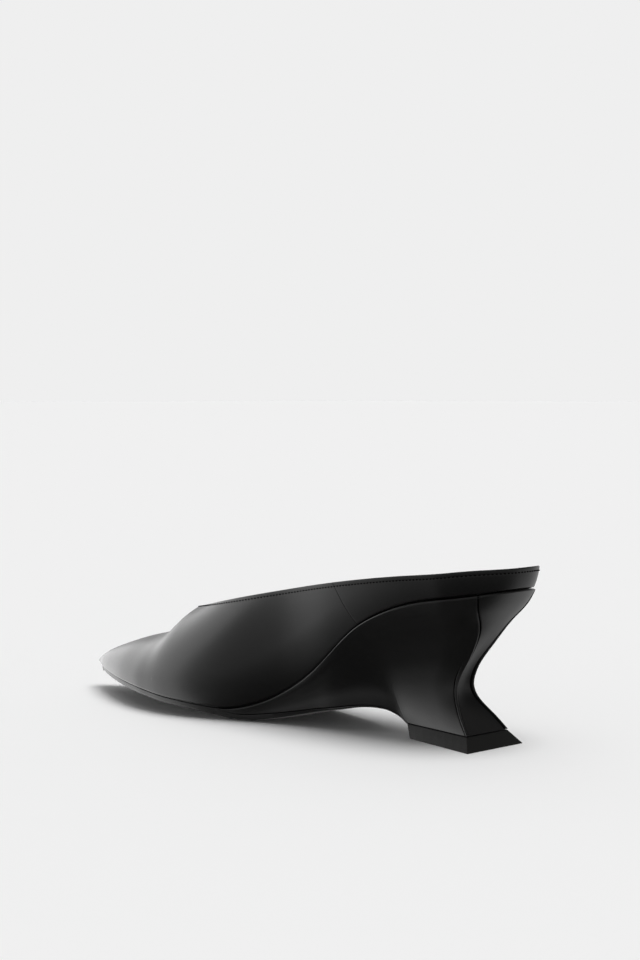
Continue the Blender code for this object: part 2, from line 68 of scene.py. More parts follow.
LAST_COLUMNS = ("along", "medial", "lateral", "widest", "crown", "belly", "fullness")
LAST = (
    (0.000, 0.708, 0.708, 1.716, 3.180, 0.620, 2.10),
    (0.101, 0.710, 0.710, 1.674, 3.030, 0.680, 2.10),
    (0.225, 0.713, 0.718, 1.462, 2.710, 0.760, 2.10),
    (0.338, 0.687, 0.733, 1.123, 2.370, 0.740, 2.10),
    (0.432, 0.687, 0.795, 0.805, 2.010, 0.680, 2.10),
    (0.533, 0.841, 0.923, 0.530, 1.568, 0.672, 2.05),
    (0.608, 0.959, 0.997, 0.403, 1.261, 0.668, 1.90),
    (0.668, 1.000, 1.003, 0.360, 1.081, 0.636, 1.66),
    (THROAT_AT, 0.990, 0.969, 0.345, 1.000, 0.600, 1.52),
    (0.728, 0.956, 0.928, 0.335, 0.850, 0.572, 1.50),
    (0.751, 0.923, 0.890, 0.328, 0.772, 0.551, 1.53),
    (0.777, 0.867, 0.831, 0.320, 0.712, 0.508, 1.62),
    (0.826, 0.736, 0.692, 0.307, 0.642, 0.424, 1.82),
    (0.882, 0.541, 0.505, 0.297, 0.553, 0.339, 2.00),
    (0.931, 0.344, 0.323, 0.288, 0.464, 0.254, 2.10),
    (0.968, 0.187, 0.177, 0.280, 0.390, 0.212, 2.10),
    (1.000, 0.074, 0.074, 0.271, 0.331, 0.191, 2.10),
)
FEATHER_COLUMNS = ("along", "lift", "spring")
FEATHER = (
    (0.000, 1.058, 0.00),
    (0.030, 1.032, 0.00),
    (0.075, 1.000, 0.00),
    (0.133, 0.958, 0.00),
    (0.177, 0.908, 0.00),
    (0.225, 0.828, 0.00),
    (0.274, 0.711, 0.00),
    (0.322, 0.547, 0.00),
    (0.367, 0.388, 0.00),
    (0.407, 0.265, 0.00),
    (0.444, 0.169, 0.00),
    (0.481, 0.087, 0.00),
    (0.518, 0.030, 0.00),
    (0.554, 0.000, 0.00),
    (0.593, 0.000, 0.07),
    (0.638, 0.000, 0.27),
    (0.694, 0.000, 0.49),
    (0.758, 0.000, 0.75),
    (0.845, 0.000, 0.93),
    (1.000, 0.000, 1.00),
)
TOPLINE_COLUMNS = ("along", "medial", "lateral")
TOPLINE = (
    (0.000, 1.000, 1.000),
    (0.030, 0.987, 0.957),
    (0.086, 0.927, 0.871),
    (0.164, 0.848, 0.785),
    (0.253, 0.743, 0.680),
    (0.344, 0.614, 0.548),
    (0.436, 0.462, 0.389),
    (0.541, 0.277, 0.211),
    (0.619, 0.135, 0.092),
    (THROAT_AT, 0.000, 0.000),
)


def spline(places, values):
    """A natural cubic spline through the given values."""
    x, y = np.array(places, float), np.array(values, float)
    gap = np.diff(x)
    count = len(x)
    system, right = np.eye(count), np.zeros(count)
    for i in range(1, count - 1):
        system[i, i - 1:i + 2] = gap[i - 1], 2 * (gap[i - 1] + gap[i]), gap[i]
        right[i] = 6 * ((y[i + 1] - y[i]) / gap[i] - (y[i] - y[i - 1]) / gap[i - 1])
    bend = np.linalg.solve(system, right)

    def value(at):
        at = np.clip(np.asarray(at, float), x[0], x[-1])
        i = np.clip(np.searchsorted(x, at) - 1, 0, count - 2)
        before, after, width = at - x[i], x[i + 1] - at, gap[i]
        cubic = (bend[i] * after ** 3 + bend[i + 1] * before ** 3) / (6 * width)
        left = (y[i] / width - bend[i] * width / 6) * after
        return cubic + left + (y[i + 1] / width - bend[i + 1] * width / 6) * before

    return value


def curves(table, columns):
    """One spline for each column after the first, over the first."""
    rows = np.array(table, float)
    return {name: spline(rows[:, 0], rows[:, k]) for k, name in enumerate(columns) if k}


last = curves(LAST, LAST_COLUMNS)
feather = curves(FEATHER, FEATHER_COLUMNS)
topline = curves(TOPLINE, TOPLINE_COLUMNS)


def feather_height(x):
    """Where the upper meets what is under it."""
    climb = feather["lift"](x / LENGTH) * (HEEL_HEIGHT - BALL_HEIGHT)
    return BALL_HEIGHT + climb + feather["spring"](x / LENGTH) * TOE_SPRING


def topline_height(x, side):
    climb = np.where(side > 0, topline["medial"](x / LENGTH), topline["lateral"](x / LENGTH))
    return INSTEP_HEIGHT + climb * (feather_height(0) + RIM_HEIGHT - INSTEP_HEIGHT)


def crown_height(x):
    return INSTEP_HEIGHT * last["crown"](x / LENGTH)


def beyond_last(x, y, z):
    """Above zero outside the last, below zero inside it."""
    at = x / LENGTH
    width = HALF_BALL * np.where(y >= 0, last["medial"](at), last["lateral"](at))
    widest = INSTEP_HEIGHT * last["widest"](at)
    belly = INSTEP_HEIGHT * last["belly"](at)
    height = np.where(z >= widest, (z - widest) / (crown_height(x) - widest), (widest - z) / belly)
    power = np.where(z >= widest, last["fullness"](at), SIDE_FULLNESS)
    toe = np.clip((x - LENGTH + TOE_ROUND) / TOE_ROUND, 0, None)
    heel = np.clip((HEEL_ROUND - x) / HEEL_ROUND, 0, None)
    return np.abs(y / width) ** SIDE_FULLNESS + height ** power + toe ** 2 + heel ** 2 - 1


def out_of_last(start, step, reach):
    """Where a ray from each start leaves the last, found by halving."""
    near, far = np.zeros(len(start)), np.full(len(start), reach)
    for _ in range(40):
        middle = (near + far) / 2
        out = beyond_last(*(start + step * middle[:, None]).T) > 0
        near, far = np.where(out, near, middle), np.where(out, middle, far)
    return start + step * near[:, None]


def level_outline(core, angle, height):
    """The last's outline from core points along directions, at a height that may change
    along the shoe."""
    near, far = np.zeros(len(core)), np.full(len(core), 2 * HALF_BALL)
    for _ in range(40):
        middle = (near + far) / 2
        x = core + middle * np.cos(angle)
        out = beyond_last(x, middle * np.sin(angle), height(x)) > 0
        near, far = np.where(out, near, middle), np.where(out, middle, far)
    x = core + near * np.cos(angle)
    return np.stack([x, near * np.sin(angle), height(x)], -1)


def slope_of_last(points):
    """Which way the form of the last rises, and how fast."""
    moves = np.eye(3) * 1e-5
    flat = points.reshape(-1, 3)
    rise = [(beyond_last(*(flat + move).T) - beyond_last(*(flat - move).T)) / 2e-5 for move in moves]
    return np.stack(rise, -1).reshape(points.shape)


def unit(vectors):
    return vectors / np.linalg.norm(vectors, axis=-1, keepdims=True)


def onto_last(points):
    for _ in range(4):
        slope = slope_of_last(points)
        over = beyond_last(*points.T) / (slope ** 2).sum(-1)
        points = points - slope * over[:, None]
    return points


def throat_at(lowered):
    """Where the topline, lowered a little, runs into the crown of the vamp."""
    x = np.linspace(THROAT_AT * LENGTH - 0.002, 0.76 * LENGTH, 400)
    over = crown_height(x) - topline_height(x, 1) + lowered
    return float(np.interp(0, -over, x))


def ring(throat, heel=34, quarter=150, vamp=70, toe=22):
    """Columns of the wall from the toe tip back along the lateral side, round the heel
    and forward along the medial side: a core point, a direction and a side for each."""
    even = np.linspace(0, 1, quarter, endpoint=False)
    core = np.concatenate([np.full(heel, HEEL_ROUND),
                           HEEL_ROUND + (throat - HEEL_ROUND) * np.sin(even * pi / 2),
                           np.linspace(throat, TOE_CENTRE, vamp),
                           np.full(toe, TOE_CENTRE)])
    angle = np.concatenate([np.linspace(pi, pi / 2, heel, endpoint=False),
                            np.full(quarter + vamp, pi / 2),
                            np.linspace(pi / 2, 0, toe + 1)[1:]])
    side = np.concatenate([-np.ones(len(core) - 1), np.ones(len(core))])
    return np.concatenate([core[:0:-1], core]), np.concatenate([-angle[:0:-1], angle]), side


def wall_face(lowered, levels):
    """The outer face of the wall row by row, from feather line to topline or crown, and
    which of its columns end at the topline."""
    throat = throat_at(lowered)
    core, angle, side = ring(throat)
    foot = level_outline(core, angle, feather_height)
    rim = level_outline(core, angle, lambda x: topline_height(x, side) - lowered)
    closed = core > throat - 1e-7
    top = np.where(closed, crown_height(core), topline_height(core, side))
    middle = feather_height(core) + 0.4 * (top - feather_height(core))
    start = np.stack([core, 0 * core, middle], -1)
    low = np.arctan2(foot[:, 2] - middle, np.hypot(foot[:, 0] - core, foot[:, 1]))
    high = np.arctan2(rim[:, 2] - middle, np.hypot(rim[:, 0] - core, rim[:, 1]))
    high = np.where(closed, pi / 2, high)
    rows = []
    for level in levels:
        lean = low + level * (high - low)
        step = np.stack([np.cos(lean) * np.cos(angle), np.cos(lean) * np.sin(angle), np.sin(lean)], -1)
        rows.append(out_of_last(start, step, 2 * HEEL_HEIGHT))
    around = np.flatnonzero(core <= throat + 1e-7)
    return np.array(rows), around


def off_the_edge(rim, normal):
    """Directions in the wall's face, square to its top edge and away from the wall."""
    along = np.roll(rim, -1, axis=0) - np.roll(rim, 1, axis=0)
    along[0] = along[-1] = rim[1] - rim[-2]
    return unit(np.cross(unit(along), normal))


def grid_faces(rows, columns, start=0):
    return [
        (start + r * columns + c, start + r * columns + c + 1,
         start + (r + 1) * columns + c + 1, start + (r + 1) * columns + c)
        for r in range(rows - 1)
        for c in range(columns - 1)
    ]


def rim_line(lowered):
    """The topline itself, with the wall's normal and the way off its edge."""
    face, around = wall_face(lowered, [1.0])
    rim = face[0, around]
    normal = unit(slope_of_last(rim))
    return rim, normal, off_the_edge(rim, normal)


def from_edge(place):
    """How far each point lies from the topline."""
    rim, _, _ = rim_line(0)
    gaps = [np.sqrt(((part[:, None] - rim) ** 2).sum(-1)).min(1) for part in np.array_split(place, 60)]
    return np.concatenate(gaps)


def wall_levels(lowered):
    """Shares of the way up the wall, close together at its foot and under its topline."""
    outline, _ = wall_face(lowered, np.linspace(0, 1, 25))
    tall = np.linalg.norm(np.diff(outline, axis=0), axis=-1).sum(0)
    foot = np.array([[0], [0.00025], [0.0005], [0.0009], [0.0014], [0.002]]) / tall
    edge = 1 - np.array([[0.0034 - 0.0002 * k] for k in range(18)]) / tall
    middle = foot[-1] + (edge[0] - foot[-1]) * np.linspace(0, 1, 50)[1:-1, None]
    return np.concatenate([foot, middle, edge])


def wall_layer(outer, inner, lowered, fold=UNDER_FOLD, pull=0.0):
    """One layer of the wall between two depths, its foot tucked under, its top edge
    rounded, and its face pulled in along the stitching."""
    round_off = (inner - outer) / 2
    face, around = wall_face(lowered + round_off, wall_levels(lowered + round_off))
    normal = unit(slope_of_last(face))
    above = np.clip(face[:, :, 2:] - feather_height(face[:, :, :1]), 0, fold)
    tuck = fold - np.sqrt(fold ** 2 - (fold - above) ** 2)
    if pull:
        near = face[-20:]
        gap = from_edge(near.reshape(-1, 3)).reshape(*near.shape[:2], 1)
        tuck[-20:] += pull * np.exp(-((gap - EDGE_STITCH) / STITCH_GROOVE) ** 2)
    skin = face - normal * (outer + tuck)
    lining = face - normal * inner
    lining[0, :, 2] = face[0, :, 2]
    rim, rim_normal = face[-1, around], normal[-1, around]
    away = off_the_edge(rim, rim_normal)
    centre = rim - rim_normal * (outer + inner) / 2
    arc = np.array([centre + round_off * (rim_normal * cos(turn) + away * sin(turn))
                    for turn in np.linspace(0, pi, 9)])
    points, faces = [], []
    for block in (skin, lining, np.array([skin[0], lining[0]]), arc):
        faces += grid_faces(*block.shape[:2], start=sum(len(part) for part in points))
        points.append(block.reshape(-1, 3))
    return np.concatenate(points), faces


def mesh_piece(name, points, faces, finish, slot, stands_for=(), rounded=(), round_by=0.0, **fields):
    """A closed, smooth piece that rides on the shoe. Fields are numbers worked out from
    the place of each point, which the finish reads."""
    mesh = bpy.data.meshes.new(name)
    mesh.from_pydata(np.asarray(points).tolist(), [], [tuple(int(k) for k in face) for face in faces])
    form = bmesh.new()
    form.from_mesh(mesh)
    form.verts.ensure_lookup_table()
    edges = [form.edges.get((form.verts[a], form.verts[b])) for line in rounded
             for a, b in zip(line, line[1:])]
    if rounded:
        bmesh.ops.bevel(form, geom=[edge for edge in edges if edge], offset=round_by, segments=3,
                        profile=0.5, affect="EDGES", clamp_overlap=True)
    bmesh.ops.remove_doubles(form, verts=form.verts, dist=0.000004)
    bmesh.ops.recalc_face_normals(form, faces=form.faces)
    if form.calc_volume(signed=True) < 0:
        bmesh.ops.reverse_faces(form, faces=form.faces)
    form.to_mesh(mesh)
    form.free()
    place = np.zeros(len(mesh.vertices) * 3)
    mesh.vertices.foreach_get("co", place)
    place = place.reshape(-1, 3)
    for field, worth in fields.items():
        mesh.attributes.new(field, "FLOAT", "POINT").data.foreach_set("value", worth(place))
    mesh.vertices.foreach_set("co", (place - (HEEL_TO_ORIGIN, 0, 0)).ravel())
    mesh.shade_smooth()
    mesh.set_sharp_from_angle(angle=radians(40))
    mesh.materials.append(finish.material)
    piece = bpy.data.objects.new(name, mesh)
    bpy.context.scene.collection.objects.link(piece)
    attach(piece, "root")
    if stands_for:
        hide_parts(*stands_for)
    return piece


class Finish:
    """A surface finish, built node by node round one Principled shader."""

    def __init__(self, name, tree=None, shader="Principled BSDF", **fixed):
        if tree is None:
            self.material = bpy.data.materials.new(name)
            self.material.use_nodes = True
            tree = self.material.node_tree
        self.nodes, self.links = tree.nodes, tree.links
        self.shader = self.nodes[shader]
        for socket, worth in fixed.items():
            self.set(self.shader, socket.replace("_", " "), worth)

    def set(self, node, socket, worth):
        entry = node.inputs[socket]
        if isinstance(worth, Field):
            self.links.new(worth.socket, entry)
        else:
            entry.default_value = worth

    def node(self, kind, settings=(), sockets=(), output=0):
        """Any node: its settings first, then the values or links of its sockets."""
        made = self.nodes.new(kind)
        for name, worth in dict(settings).items():
            setattr(made, name, worth)
        for socket, worth in dict(sockets).items():
            self.set(made, socket, worth)
        return Field(self, made.outputs[output])

    def field(self, name):
        """A number kept on the mesh."""
        return self.node("ShaderNodeAttribute", {"attribute_name": name}, output="Fac")

    def place(self):
        return self.node("ShaderNodeTexCoord", output="Object")

    def noise(self, scale, detail=3.0, roughness=0.55, stretch=(1, 1, 1)):
        """Cloudy noise about 0.5, so many swings to the metre."""
        at = self.node("ShaderNodeMapping", {}, {"Vector": self.place(), "Scale": stretch})
        return self.node("ShaderNodeTexNoise", {}, {
            "Vector": at, "Scale": scale, "Detail": detail, "Roughness": roughness})

    def cells(self, scale):
        """Distance to the nearest of many scattered points."""
        return self.node("ShaderNodeTexVoronoi", {"feature": "F1"}, {"Vector": self.place(), "Scale": scale})

    def rise(self, worth, low, high):
        """0 below low, 1 above high, smooth between."""
        return self.node("ShaderNodeMapRange", {"interpolation_type": "SMOOTHSTEP"}, {
            "Value": worth, "From Min": low, "From Max": high})

    def line(self, worth, at, half):
        """1 on a line where a number has a given worth, fading to 0 on both sides."""
        return 1 - self.rise(abs(worth - at), 0, half)

    def mix(self, share, one, other):
        return self.node("ShaderNodeMix", {"data_type": "RGBA"}, {0: share, 6: one, 7: other}, output=2)

    def relief(self, height, distance):
        """Raise or sink the surface by a height in shares of a distance in metres."""
        bump = self.node("ShaderNodeBump", {}, {"Height": height, "Distance": distance, "Strength": 1.0})
        self.set(self.shader, "Normal", bump)


class Field:
    """A number or colour that changes over a surface, written as plain sums."""

    def __init__(self, finish, socket):
        self.finish, self.socket = finish, socket

    def maths(self, operation, *terms):
        return self.finish.node("ShaderNodeMath", {"operation": operation}, dict(enumerate(terms)))

    def __add__(self, other):
        return self.maths("ADD", self, other)

    def __radd__(self, other):
        return self.maths("ADD", other, self)

    def __sub__(self, other):
        return self.maths("SUBTRACT", self, other)

    def __rsub__(self, other):
        return self.maths("SUBTRACT", other, self)

    def __mul__(self, other):
        return self.maths("MULTIPLY", self, other)

    def __rmul__(self, other):
        return self.maths("MULTIPLY", other, self)

    def __abs__(self):
        return self.maths("ABSOLUTE", self)


SEAM_FOOT = (0.0706, 0.0500)
SEAM_TOP = (0.0825, 0.0648)
SEAM_WIDTH = 0.00035


def from_seam(place):
    """How far each point lies in front of the closing seam, on the medial side."""
    lean = atan2(SEAM_TOP[0] - SEAM_FOOT[0], SEAM_TOP[1] - SEAM_FOOT[1])
    gap = (place[:, 0] - SEAM_FOOT[0]) * cos(lean) - (place[:, 2] - SEAM_FOOT[1]) * sin(lean)
    return np.where(place[:, 1] > 0, gap, LENGTH)


def above_feather(place):
    return place[:, 2] - feather_height(place[:, 0])


def calf(name, tone, roughness):
    """Smooth, close-pored black calf with a satin dressing."""
    finish = Finish(name, Roughness=roughness, Specular_IOR_Level=0.5)
    cloud = finish.noise(28, detail=2)
    fine = finish.noise(420, detail=3)
    dark = tuple(0.72 * part for part in tone)
    colour = finish.mix(cloud, (*dark, 1), (*tone, 1))
    gloss = roughness - 0.05 + 0.07 * cloud + 0.05 * fine
    finish.set(finish.shader, "Base Color", colour)
    finish.set(finish.shader, "Roughness", gloss)
    pores = finish.rise(finish.cells(1500), 0.15, 0.5)
    grain = finish.noise(900, detail=4, roughness=0.6)
    return finish, 0.35 * pores + 0.5 * grain + 0.3 * cloud, colour, gloss


upper_calf, upper_grain, upper_tone, upper_gloss = calf("upper_calf", (0.0042, 0.0041, 0.0040), 0.34)
seam = upper_calf.field("seam")
# Along the butted closing seam a narrow line is painted near-black, as painted shade in the seam's cleft; the
# same line is also made rougher and sunk a little.
seam_cleft_shade = upper_calf.line(seam, 0, SEAM_WIDTH)
upper_calf.set(upper_calf.shader, "Base Color", upper_calf.mix(seam_cleft_shade, upper_tone, (0.0005, 0.0005, 0.0005, 1)))
upper_calf.set(upper_calf.shader, "Roughness", upper_gloss + 0.6 * seam_cleft_shade)
upper_calf.relief(upper_grain - 3 * seam_cleft_shade, 0.00002)

points, faces = wall_layer(0, LEATHER, 0, pull=STITCH_PULL)
mesh_piece("upper_leather", points, faces, upper_calf, "upper_leather", ["upper"], seam=from_seam)


# Lining: thin smooth goatskin glued inside the upper, cut a little below its folded edge.
# It covers the whole inside, toe included.
LINING_GAP = 0.00008
LINING_BELOW = 0.0005

lining_skin, lining_grain, _, _ = calf("lining_skin", (0.008, 0.0077, 0.0073), 0.5)
lining_skin.relief(lining_grain, 0.00002)
points, faces = wall_layer(LEATHER + LINING_GAP, WALL, LINING_BELOW)
mesh_piece("lining", points, faces, lining_skin, "sock_leather")


# Topline stitching: one row of fine black thread close under the folded edge, all round
# the opening. Each stitch pulls its ends into the leather.
STITCH_PITCH = 0.00185
STITCH_LENGTH = 0.0013
THREAD = 0.00022


def even_steps(line, pitch, *others):
    """The points of a closed line at an even pitch, with the other rows that go with it."""
    reach = np.concatenate([[0], np.cumsum(np.linalg.norm(np.diff(line, axis=0), axis=1))])
    at = np.linspace(0, reach[-1], int(reach[-1] / pitch) + 1)[:-1]
    return [np.stack([np.interp(at, reach, row[:, k]) for k in range(3)], -1) for row in (line, *others)]


def stitch_points(middle, along, out, length, thread):
    """The rings of one stitch, thickest in the middle and sunk at both ends."""
    across = np.cross(along, out)
    rings = []
    for share in np.linspace(-1, 1, 7):
        radius = thread * (1 - 0.75 * abs(share) ** 3)
        centre = middle + along * share * length / 2 + out * (0.5 * thread - 1.6 * thread * share ** 2)
        rings += [centre + radius * (out * cos(turn) + 1.25 * across * sin(turn))
                  for turn in np.arange(8) * pi / 4]
    return rings


def tube_faces(rings, size, start=0):
    """Faces along a closed tube of rings, with both ends capped."""
    faces = [(start + r * size + k, start + r * size + (k + 1) % size,
              start + (r + 1) * size + (k + 1) % size, start + (r + 1) * size + k)
             for r in range(rings - 1) for k in range(size)]
    ends = [tuple(range(first, first + size)) for first in (start, start + (rings - 1) * size)]
    return faces + ends


rim, rim_normal, rim_away = rim_line(0)
sewn_line = onto_last(rim - EDGE_STITCH * rim_away)
middles, outs = even_steps(sewn_line, STITCH_PITCH, unit(slope_of_last(sewn_line)))
alongs = unit(np.roll(middles, -1, axis=0) - np.roll(middles, 1, axis=0))
points, faces = [], []
for middle, out, along in zip(middles, unit(outs), alongs):
    for place, facing in ((middle, out), (middle - WALL * out, -out)):
        faces += tube_faces(7, 8, len(points))
        points += stitch_points(place, along, facing, STITCH_LENGTH, THREAD)

thread_wax = Finish("waxed_thread", Base_Color=(0.0012, 0.0012, 0.0012, 1), Specular_IOR_Level=0.12)
twist = thread_wax.noise(2600, detail=2)
thread_wax.set(thread_wax.shader, "Roughness", 0.75 + 0.2 * twist)
thread_wax.relief(twist, 0.00003)
mesh_piece("topline_stitching", points, faces, thread_wax, "upper_leather")


# Sock: black lining leather over the insole board, from heel to toe, its edge turned
# down against the lining. It swells a little over the thin foam under the heel and ball.
INSOLE_THICKNESS = 0.0035
INSOLE_GAP = 0.0006
SOCK_ROUND = 0.0009


def feather_ring(columns, inset):
    """The feather line of both sides, moved in or out, as lateral and medial halves."""
    core, angle, side = columns
    line = level_outline(core, angle, feather_height)
    along = np.gradient(line[:, :2], axis=0)
    out = unit(np.stack([-along[:, 1], along[:, 0], 0 * along[:, 0]], -1))
    out[[0, -1]] = 1, 0, 0
    back = len(core) // 2
    out[back] = -1, 0, 0
    moved = line - inset * out
    moved[[0, back, -1], 1] = 0
    return moved[back::-1], moved[back:], out[back::-1], out[back:]


heel_to_toe = ring(THROAT_AT * LENGTH, heel=30, quarter=110, vamp=50, toe=16)
lateral, medial, _, _ = feather_ring(heel_to_toe, WALL + INSOLE_GAP)
across = np.linspace(1, -1, 25)
rings = []
for left, right in zip(medial, lateral):
    half = max(abs(left[1] - right[1]) / 2, 1e-4)
    if half < 2 * SOCK_ROUND:
        continue
    flank = [(1, 0), (1, INSOLE_THICKNESS - SOCK_ROUND)] + [
        (1 - SOCK_ROUND / half * (1 - cos(turn)), INSOLE_THICKNESS - SOCK_ROUND * (1 - sin(turn)))
        for turn in (0.35, 0.8, 1.2)]
    inner = 1 - SOCK_ROUND / half
    top = [(inner * s, INSOLE_THICKNESS + 0.0003 * (1 - s * s)) for s in across]
    loop = np.array([(left + right) / 2 + s * (left - right) / 2 + (0, 0, rise)
                     for s, rise in flank + top + [(-s, rise) for s, rise in flank[::-1]]])
    loop[:, 2] += feather_height(loop[:, 0]) - (left[2] + right[2]) / 2
    rings.append(loop)
sock_skin, sock_grain, _, _ = calf("sock_skin", (0.010, 0.0097, 0.0093), 0.48)
sock_skin.relief(sock_grain, 0.00003)
mesh_piece("sock", np.concatenate(rings), tube_faces(len(rings), len(rings[0])), sock_skin,
           "sock_leather", ["insole"])


# Wedge heel: a moulded wedge wrapped in the upper's calf, which is turned over a rounded
# ledge at the top and meets the back panel in two folded ridge seams. Its waist is drawn
# in like an hourglass above the top piece.
CLEARANCE = 0.0003
LEDGE = 0.001
LEDGE_ROUND = 0.0007
LEDGE_TAPER = 0.06
RIDGE_ANGLE = radians(130)
ARCH_HEIGHT = 0.0129
TAIL_THICKNESS = 0.0004
SOLE_FADE = 0.05
TOP_PIECE_THICKNESS = 0.006
TOP_PIECE_SETBACK = 0.015
TOP_PIECE_LENGTH = 0.0424
TOP_PIECE_WIDTH = 0.0366
TOP_PIECE_FRONT_WIDTH = 0.014
TOP_PIECE_BACK_FLARE = 0.0046
TOP_PIECE_SIDE_FLARE = 0.005
TOP_PIECE_FRONT_FLARE = 0.0024
TOP_PIECE_FRONT_LEAN = 0.0036
TOP_PIECE_FRONT = TOP_PIECE_SETBACK + TOP_PIECE_LENGTH + TOP_PIECE_FRONT_LEAN
BREAST = TOP_PIECE_FRONT + 0.0006
WAIST_WIDTH = 0.0094
WAIST_DEPTH = 0.0152
PINCH_FADE = 2.4
BACK_ROUND_FADE = 4
BACK_HOLLOW = 0.0012
BACK_STEP = 0.0005
BACK_COVER = 0.0012
RIDGE_LAND = 0.0007
RIDGE_ROUND = 0.0004
BREAST_EASE = 0.3
FOLD_WIDTH = (0.0008, 0.0024)
FOLD_HEIGHT = 0.0002
FOLD_GROOVE = 0.0007
FOLD_TOP = 0.42
FOLD_SIDE = -1
WEDGE_LEVELS = 64
BACK_COLUMNS = 28

ARCH_COLUMNS = ("along", "tuck", "height", "sole")
ARCH = (
    (0.2312, 0.168, 0.510, 0.62),
    (0.237, 0.174, 0.592, 0.60),
    (0.2425, 0.183, 0.680, 0.58),
    (0.2515, 0.208, 0.793, 0.56),
    (0.260, 0.240, 0.872, 0.54),
    (0.267, 0.276, 0.927, 0.52),
    (0.275, 0.316, 0.961, 0.51),
    (0.290, 0.405, 0.992, 0.50),
    (0.305, 0.494, 0.984, 0.49),
    (0.3205, 0.580, 0.953, 0.50),
    (0.345, 0.71, 0.868, 0.55),
    (0.379, 0.81, 0.752, 0.64),
    (0.413, 0.90, 0.620, 0.75),
    (0.447, 0.96, 0.488, 0.88),
    (0.480, 0.99, 0.380, 1.00),
    (0.514, 1.00, 0.290, 1.12),
    (0.544, 1.00, 0.279, 1.16),
    (TAIL_AT, 1.00, 0.395, 1.14),
)
RIDGE_COLUMNS = ("up", "forward", "inward")
RIDGE = (
    (0.0, 0.00, 0.00),
    (0.1, 0.40, 0.26),
    (0.2, 0.78, 0.60),
    (0.3, 0.98, 0.83),
    (0.4, 0.94, 0.94),
    (0.5, 0.76, 1.00),
    (0.6, 0.55, 0.94),
    (0.7, 0.36, 0.82),
    (0.8, 0.21, 0.57),
    (0.9, 0.07, 0.18),
    (1.0, 0.00, 0.00),
)
arch = curves(ARCH, ARCH_COLUMNS)
ridge = curves(RIDGE, RIDGE_COLUMNS)


def shelf_height(x):
    return feather_height(x) - CLEARANCE


def wedge_under(x):
    """The line under the wedge, carried on below the feather line in front of its tail."""
    at = x / LENGTH
    fade = np.clip(1 - (at - TAIL_AT) / SOLE_FADE, 0, 1)
    front = shelf_height(x) - TAIL_THICKNESS * fade * fade
    middle = np.where(at <= TAIL_AT, ARCH_HEIGHT * arch["height"](at), front)
    return np.where(x < BREAST, TOP_PIECE_THICKNESS + CLEARANCE, middle)


def along_line(points):
    """Shares of the length of a line of points."""
    reach = np.cumsum(np.linalg.norm(np.diff(points, axis=0), axis=1))
    return np.concatenate([[0], reach / reach[-1]])


def resample(line, shares):
    at = along_line(line)
    return np.stack([np.interp(shares, at, line[:, k]) for k in range(line.shape[1])], -1)


def wedge_edges():
    """The feather line over the wedge on each side: the back arc to the ridge, then the
    side to the tail, with the way out from each point."""
    core, angle, side = ring(THROAT_AT * LENGTH, heel=60, quarter=260)
    _, medial, _, medial_out = feather_ring((core, angle, side), 0)
    lateral, _, lateral_out, _ = feather_ring((core, angle, side), 0)
    half_angle = np.abs(angle[len(core) // 2:])
    corner = int(np.argmin(np.abs(half_angle - RIDGE_ANGLE)))
    halves = {}
    for sign, line, out in ((1, medial, medial_out), (-1, lateral, lateral_out)):
        keep = int(np.searchsorted(line[:, 0], TAIL - WALL))
        tail = level_outline(np.array([TAIL]), np.array([sign * pi / 2]), feather_height)
        halves[sign] = (np.concatenate([line[:keep], tail]), np.concatenate([out[:keep], out[keep:keep + 1]]))
    return halves, corner


wedge_lines, ridge_corner = wedge_edges()


def foot_stations():
    """Where each share of the wedge's side comes down: on the top piece, up the breast
    and through the arch to the tail."""
    back = TOP_PIECE_SETBACK + TOP_PIECE_BACK_FLARE
    x = np.concatenate([np.linspace(back, TOP_PIECE_FRONT, 12), np.linspace(BREAST, TAIL, 240)])
    return along_line(np.stack([x, wedge_under(x)], -1)), x


foot_shares, foot_x = foot_stations()
side_length = 0.145
side_shares = np.unique(np.concatenate([
    np.linspace(0, 0.0036, 25) / side_length, np.linspace(0.0044 / side_length, 1, 120), foot_shares[11:13]]))


def side_top(sign, spread, shares):
    """The wedge's upper edge beside the ridge, spread out from the feather line."""
    line, out = wedge_lines[sign]
    taper = np.clip((TAIL - line[:, 0]) / (LEDGE_TAPER * LENGTH), 0, 1)[:, None]
    moved = line + spread * taper * out
    at = along_line(line[ridge_corner:])
    points = np.stack([np.interp(shares, at, moved[ridge_corner:, k]) for k in range(3)], -1)
    points[:, 2] = shelf_height(points[:, 0])
    return points


def side_foot(sign, shares):
    """The wedge's lower edge beside the ridge, on the top piece and through the arch."""
    x = np.interp(shares, foot_shares, foot_x)
    line = level_outline(x, np.full(len(x), sign * pi / 2), feather_height)
    straight = np.interp(x, [foot_x[0], TOP_PIECE_FRONT],
                         [TOP_PIECE_WIDTH / 2 - TOP_PIECE_SIDE_FLARE,
                          TOP_PIECE_FRONT_WIDTH / 2 - TOP_PIECE_FRONT_FLARE])
    line[:, 1] = np.where(x < BREAST, sign * straight, line[:, 1] * arch["tuck"](x / LENGTH))
    line[:, 2] = wedge_under(x)
    return line


def eased(line, shares, reach=0.05):
    """The same line with its corners eased out over a share of its length."""
    even = np.linspace(0, 1, 401)
    steps = int(reach * 400)
    weight = np.hanning(2 * steps + 3)[1:-1]
    columns = [np.interp(even, shares, column) for column in line.T]
    padded = [np.pad(column, steps, mode="reflect", reflect_type="odd") for column in columns]
    smooth = [np.convolve(column, weight / weight.sum(), mode="valid") for column in padded]
    return np.stack([np.interp(shares, even, column) for column in smooth], -1)


def ridge_line(top, foot, level):
    """A back corner of the wedge, drawn in to the waist between top and foot."""
    pinch = (top[1] + foot[1]) / 2
    pinch = np.sign(pinch) * (abs(pinch) - WAIST_WIDTH / 2)
    point = foot + level * (top - foot)
    point[0] += WAIST_DEPTH * ridge["forward"](level)
    point[1] -= pinch * ridge["inward"](level)
    return point


def ledge_round(points):
    """How tall the rounded edge of the ledge is, less where the wedge thins out."""
    return np.minimum(LEDGE_ROUND, (points[:, 2] - wedge_under(points[:, 0])) / 3)


